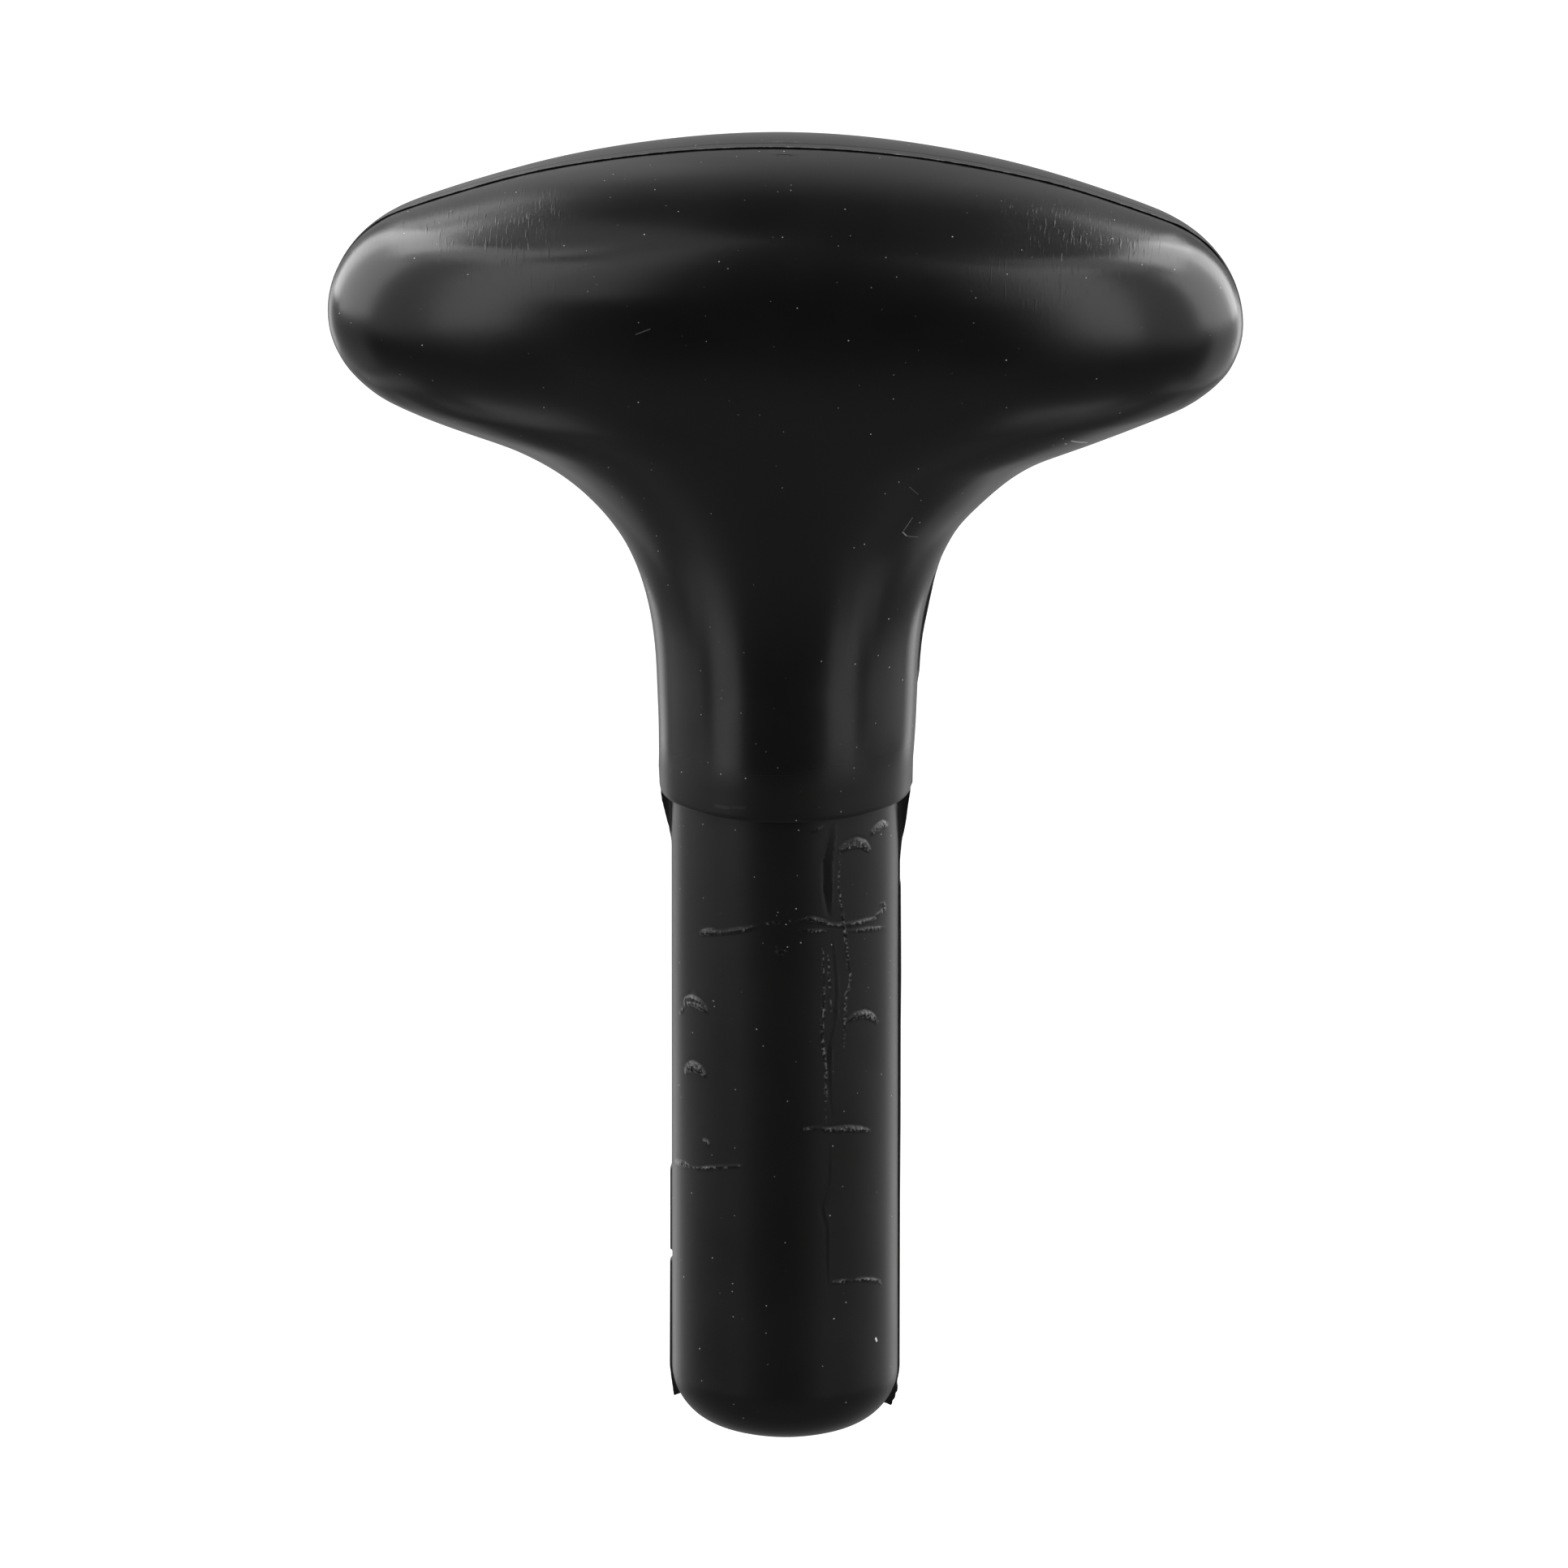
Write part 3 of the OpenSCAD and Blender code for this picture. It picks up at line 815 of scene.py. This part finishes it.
def chalky_marks(tree, where, mark, finish):
    """Ragged pale tops on the moulding marks."""
    ragged = cloudy(tree, (-6, -9), where, 0.4 * MM)
    ragged = ramp(tree, (-5, -9), ragged, 0.52, 0.66, 0.0, finish.mark_chalk)
    return combine(tree, (-4, -9), "MULTIPLY", ragged, mark)


def near_scratches(tree, where, depth):
    """How pale a scratch makes each place on the front of the grip."""
    row = -12
    flat = combine_vectors(tree, (-9, row), "MULTIPLY", where, (1, 0, 1))
    scratched = 0.0
    for start, end, width, paleness in SCRATCHES.values():
        row -= 1
        start = Vector((start[0], 0, start[1])) * MM
        way = Vector((end[0], 0, end[1])) * MM - start
        off = combine_vectors(tree, (-8, row), "SUBTRACT", flat, start)
        run = combine_vectors(
            tree, (-7, row), "DOT_PRODUCT", off, way / way.length_squared, output="Value")
        run = combine(tree, (-6, row), "MULTIPLY", run, 1.0, use_clamp=True)
        along = scaled(tree, (-5, row), way, run)
        gap = combine_vectors(tree, (-4, row), "DISTANCE", off, along, output="Value")
        core, edge = width * 0.3 * MM, width * 0.7 * MM
        near = ramp(tree, (-3, row), gap, core, edge, paleness, 0.0)
        scratched = combine(tree, (-2, row), "MAXIMUM", scratched, near)
    on_front = combine(tree, (-7, row - 1), "LESS_THAN", depth, 0.0)
    return combine(tree, (-1, row), "MULTIPLY", scratched, on_front)


def skin_relief(tree, where, aside, height, finish):
    """Fine grain all over, and fine upright hairs on the shoulders of the head."""
    grain = cloudy(tree, (-6, 7), where, finish.grain_size, Detail=2.0)
    stretch = (1 / (0.25 * MM), 1 / (2 * MM), 1 / (2 * MM))
    stretched = combine_vectors(tree, (-7, 8), "MULTIPLY", where, stretch)
    hairs = cloudy(tree, (-6, 8), stretched, 1.0)
    hairs = ramp(tree, (-5, 8), hairs, 0.58, 0.75, 0.0, finish.hairs)
    aside = combine(tree, (-6, 9), "ABSOLUTE", aside)
    aside = ramp(tree, (-5, 9), aside, 20 * MM, 28 * MM)
    upper = ramp(tree, (-5, 10), height, 60 * MM, 66 * MM)
    hairs = combine(tree, (-4, 8), "MULTIPLY", hairs, aside)
    hairs = combine(tree, (-3, 8), "MULTIPLY", hairs, upper)
    relief = combine(tree, (-3, 7), "ADD", grain, hairs)
    return value_of(
        tree, "ShaderNodeBump", (-2, 7),
        {"Height": relief, "Distance": finish.grain}, output="Normal")


def moulded_plastic(finish):
    """Black satin plastic: polished head, duller spigot, fine grain, flecks, scratches, dust,
    and painted shade along the parting line's groove over the crown.
    """
    material = bpy.data.materials.new("moulded_black_plastic")
    material.use_nodes = True
    tree = material.node_tree
    shader = tree.nodes["Principled BSDF"]
    where = value_of(tree, "ShaderNodeTexCoord", (-10, 0), {}, output="Object")
    mark = value_of(tree, "ShaderNodeAttribute", (-10, -2), {}, output="Fac", attribute_name="mark")
    split = node(tree, "ShaderNodeSeparateXYZ", (-9, 1), {0: where})
    aside, depth, height = split.outputs
    on_spigot = ramp(tree, (-7, 1), height, 7 * MM, 3 * MM, interpolation_type="SMOOTHSTEP")
    on_crown = ramp(tree, (-7, -7), height, 63 * MM, 66 * MM)
    cloud = cloudy(tree, (-7, -5), where, 14 * MM, Detail=3.0)

    dust = dust_specks(tree, where, finish)
    flecks = torn_lip(tree, where, depth, on_crown, finish)
    dust = combine(tree, (-2, -3), "MAXIMUM", dust, flecks)
    dust = combine(tree, (-1, -3), "MAXIMUM", dust, chalky_marks(tree, where, mark, finish))
    dust = combine(tree, (0, -3), "MAXIMUM", dust, near_scratches(tree, where, depth))
    black = blend(tree, (-3, 0), on_spigot, finish.black, finish.spigot_black)
    black = scaled(tree, (-2, 0), black, ramp(tree, (-5, -5), cloud, 0.3, 0.7, 0.85, 1.15))
    colour_here = blend(tree, (-1, 0), dust, black, finish.dust)

    # Painted shade: along the parting line's groove over the crown the gloss tint is dimmed to 0.3
    groove = line_across(tree, (-6, 5), depth, -0.03 * MM, 0.05 * MM, 0.07 * MM)
    groove = combine(tree, (-3, 5), "MULTIPLY", groove, on_crown)
    shine = blend(tree, (-1, 4), on_spigot, WHITE, finish.spigot_shine)
    shine = scaled(tree, (0, 4), shine, ramp(tree, (-2, 5), groove, 0.0, 1.0, 1.0, 0.3))

    rough = ramp(
        tree, (-3, 2), on_spigot, 0.0, 1.0, finish.head_roughness, finish.spigot_roughness)
    smear = ramp(tree, (-3, 3), cloud, 0.3, 0.7, -finish.smear, finish.smear)
    rough = combine(tree, (-2, 2), "ADD", rough, smear)
    polish = combine(tree, (-2, 3), "MULTIPLY", mark, finish.mark_polish)
    rough = combine(tree, (-1, 2), "SUBTRACT", rough, polish)

    relief = skin_relief(tree, where, aside, height, finish)
    feed(tree, shader, {
        "Base Color": colour_here, "Specular Tint": shine, "Roughness": rough, "Normal": relief})
    return material


class MESH_OT_paddle_grip(bpy.types.Operator):
    """Models the grip: palm head, flare, neck and collar, spigot and dome, in one moulding."""

    bl_idname = "mesh.paddle_grip"
    bl_label = "Mould the grip"

    def execute(self, context):
        head = context.scene.tgrip_head
        spigot = context.scene.tgrip_spigot
        rings = head_rings(head)
        top = drawn_shell(rings)
        close_crest(top, head, len(rings[0]))
        bpy.ops.object.mode_set(mode="OBJECT")
        rings, where = spigot_rings(spigot)
        stem = drawn_shell(rings)
        bpy.ops.object.mode_set(mode="OBJECT")
        set_mark_attribute(stem, where)
        bpy.ops.object.select_all(action="DESELECT")
        top.select_set(True)
        stem.select_set(True)
        context.view_layer.objects.active = top
        bpy.ops.object.join()
        grip = context.object
        grip.name = "moulded_grip"
        weld_shoulder(grip)
        bpy.ops.object.shade_smooth_by_angle(angle=SMOOTH_ANGLE)
        grip.data.materials.append(moulded_plastic(context.scene.tgrip_finish))
        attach(grip, "root")
        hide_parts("grip")
        return {"FINISHED"}


def direction(azimuth, elevation):
    """Unit vector out from the grip: azimuth 0 is the front, and positive turns to the right."""
    return Vector((
        math.sin(azimuth) * math.cos(elevation),
        -math.cos(azimuth) * math.cos(elevation),
        math.sin(elevation)))


def pale_floor(studio):
    """A wide white floor, bright enough to lose its edges, and clear from beneath."""
    bpy.ops.object.select_all(action="DESELECT")
    level = LOW.z - studio.floor_drop
    bpy.ops.mesh.primitive_plane_add(size=studio.floor_size, location=(0, 0, level))
    floor = bpy.context.object
    floor.name = "pale_floor"
    bpy.ops.object.transform_apply(location=True, rotation=True, scale=True)
    material = bpy.data.materials.new("pale_paper")
    material.use_nodes = True
    tree = material.node_tree
    shader = tree.nodes["Principled BSDF"]
    feed(tree, shader, {
        "Base Color": (0.9, 0.9, 0.9, 1), "Roughness": 0.9,
        "Emission Color": WHITE, "Emission Strength": studio.backdrop})
    beneath = value_of(tree, "ShaderNodeNewGeometry", (-3, 2), {}, output="Backfacing")
    clear = value_of(tree, "ShaderNodeBsdfTransparent", (-2, -2), {})
    both = value_of(
        tree, "ShaderNodeMixShader", (1, 1), {0: beneath, 1: shader.outputs[0], 2: clear})
    feed(tree, tree.nodes["Material Output"], {"Surface": both})
    floor.data.materials.append(material)
    floor.visible_glossy = False
    floor.visible_diffuse = False


def soft_box(name, azimuth, elevation, wide, tall, brightness, distance):
    """An area light that fills a given angle as the grip sees it, hidden from the camera."""
    width = 2 * distance * math.tan(math.radians(wide) / 2)
    height = 2 * distance * math.tan(math.radians(tall) / 2)
    out = direction(math.radians(azimuth), math.radians(elevation))
    bpy.ops.object.select_all(action="DESELECT")
    bpy.ops.object.light_add(type="AREA", location=out * distance)
    light = bpy.context.object
    light.name = name
    light.data.shape = "RECTANGLE"
    light.data.size = width
    light.data.size_y = height
    light.data.energy = math.pi * width * height * brightness
    light.rotation_euler = out.to_track_quat("Z", "Y").to_euler()
    light.visible_camera = False


def white_room(studio):
    """White all round for the camera; for the plastic, bright behind and dark in front."""
    world = bpy.data.worlds.new("white_room")
    bpy.context.scene.world = world
    world.use_nodes = True
    tree = world.node_tree
    seen = tree.nodes["Background"]
    feed(tree, seen, {"Color": WHITE, "Strength": studio.backdrop})
    way = value_of(tree, "ShaderNodeTexCoord", (-7, 0), {}, output="Generated")
    split = node(tree, "ShaderNodeSeparateXYZ", (-6, 0), {0: way})
    _, back, up = split.outputs
    smooth = {"interpolation_type": "SMOOTHSTEP"}
    behind = ramp(tree, (-5, 1), back, 0.35, 0.95, studio.front_fill, studio.rear_fill, **smooth)
    beneath = ramp(tree, (-5, -1), up, -0.34, -0.68, 0.0, studio.floor_fill, **smooth)
    above = ramp(tree, (-5, -3), up, 0.2, 0.8, 0.0, studio.ceiling_fill, **smooth)
    level = combine(tree, (-4, 0), "ADD", behind, beneath)
    level = combine(tree, (-3, 0), "ADD", level, above)
    thrown = value_of(tree, "ShaderNodeBackground", (-2, -1), {"Color": WHITE, "Strength": level})
    camera_ray = value_of(tree, "ShaderNodeLightPath", (-2, 2), {}, output="Is Camera Ray")
    both = value_of(
        tree, "ShaderNodeMixShader", (0, 0), {0: camera_ray, 1: thrown, 2: seen.outputs[0]})
    feed(tree, tree.nodes["World Output"], {"Surface": both})


def studio_camera(studio):
    """The camera at the photograph's viewing angle."""
    out = direction(studio.view_azimuth, studio.view_elevation)
    turn = out.to_track_quat("Z", "Y")
    right = turn @ Vector((1, 0, 0))
    aim = Vector((0, 0, studio.aim_height)) + right * studio.aim_right
    bpy.ops.object.camera_add(location=aim + out * studio.view_distance)
    camera = bpy.context.object
    camera.name = "studio_camera"
    camera.rotation_euler = turn.to_euler()
    camera.data.lens = camera.data.sensor_width * studio.view_distance / studio.view_width
    bpy.context.scene.camera = camera


class SCENE_OT_paddle_grip_studio(bpy.types.Operator):
    """Sets up the pale floor, the soft boxes, the white surroundings and the camera."""

    bl_idname = "scene.paddle_grip_studio"
    bl_label = "Set up the studio"

    def execute(self, context):
        studio = context.scene.tgrip_studio
        pale_floor(studio)
        for name, (azimuth, elevation, wide, tall, brightness, distance) in SOFT_BOXES.items():
            soft_box(name, azimuth, elevation, wide, tall, brightness * studio.brightness, distance)
        white_room(studio)
        studio_camera(studio)
        context.scene.view_settings.view_transform = "Standard"
        return {"FINISHED"}


class VIEW3D_PT_paddle_grip(bpy.types.Panel):
    """Lists the grip's operators and sizes in the sidebar."""

    bl_label = "Paddle T-grip"
    bl_idname = "VIEW3D_PT_paddle_grip"
    bl_space_type = "VIEW_3D"
    bl_region_type = "UI"
    bl_category = "T-grip"

    def draw(self, context):
        layout = self.layout
        for group in SETTINGS:
            settings = getattr(context.scene, group)
            box = layout.box()
            for name in settings.__annotations__:
                box.prop(settings, name)
        for operator in OPERATORS:
            layout.operator(operator.bl_idname)


SETTINGS = {
    "tgrip_head": HeadSizes,
    "tgrip_spigot": SpigotSizes,
    "tgrip_finish": PlasticFinish,
    "tgrip_studio": StudioSettings,
}
OPERATORS = (MESH_OT_paddle_grip, SCENE_OT_paddle_grip_studio)


def register():
    """Adds the grip's settings, operators and panel to Blender."""
    for group in (*SETTINGS.values(), *OPERATORS, VIEW3D_PT_paddle_grip):
        bpy.utils.register_class(group)
    for name, group in SETTINGS.items():
        setattr(bpy.types.Scene, name, PointerProperty(type=group))


def unregister():
    """Takes them out of Blender again."""
    for name in SETTINGS:
        delattr(bpy.types.Scene, name)
    for group in reversed((*SETTINGS.values(), *OPERATORS, VIEW3D_PT_paddle_grip)):
        bpy.utils.unregister_class(group)


def main():
    """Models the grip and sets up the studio."""
    register()
    bpy.ops.mesh.paddle_grip()
    bpy.ops.scene.paddle_grip_studio()


if __name__ == "__main__":
    main()
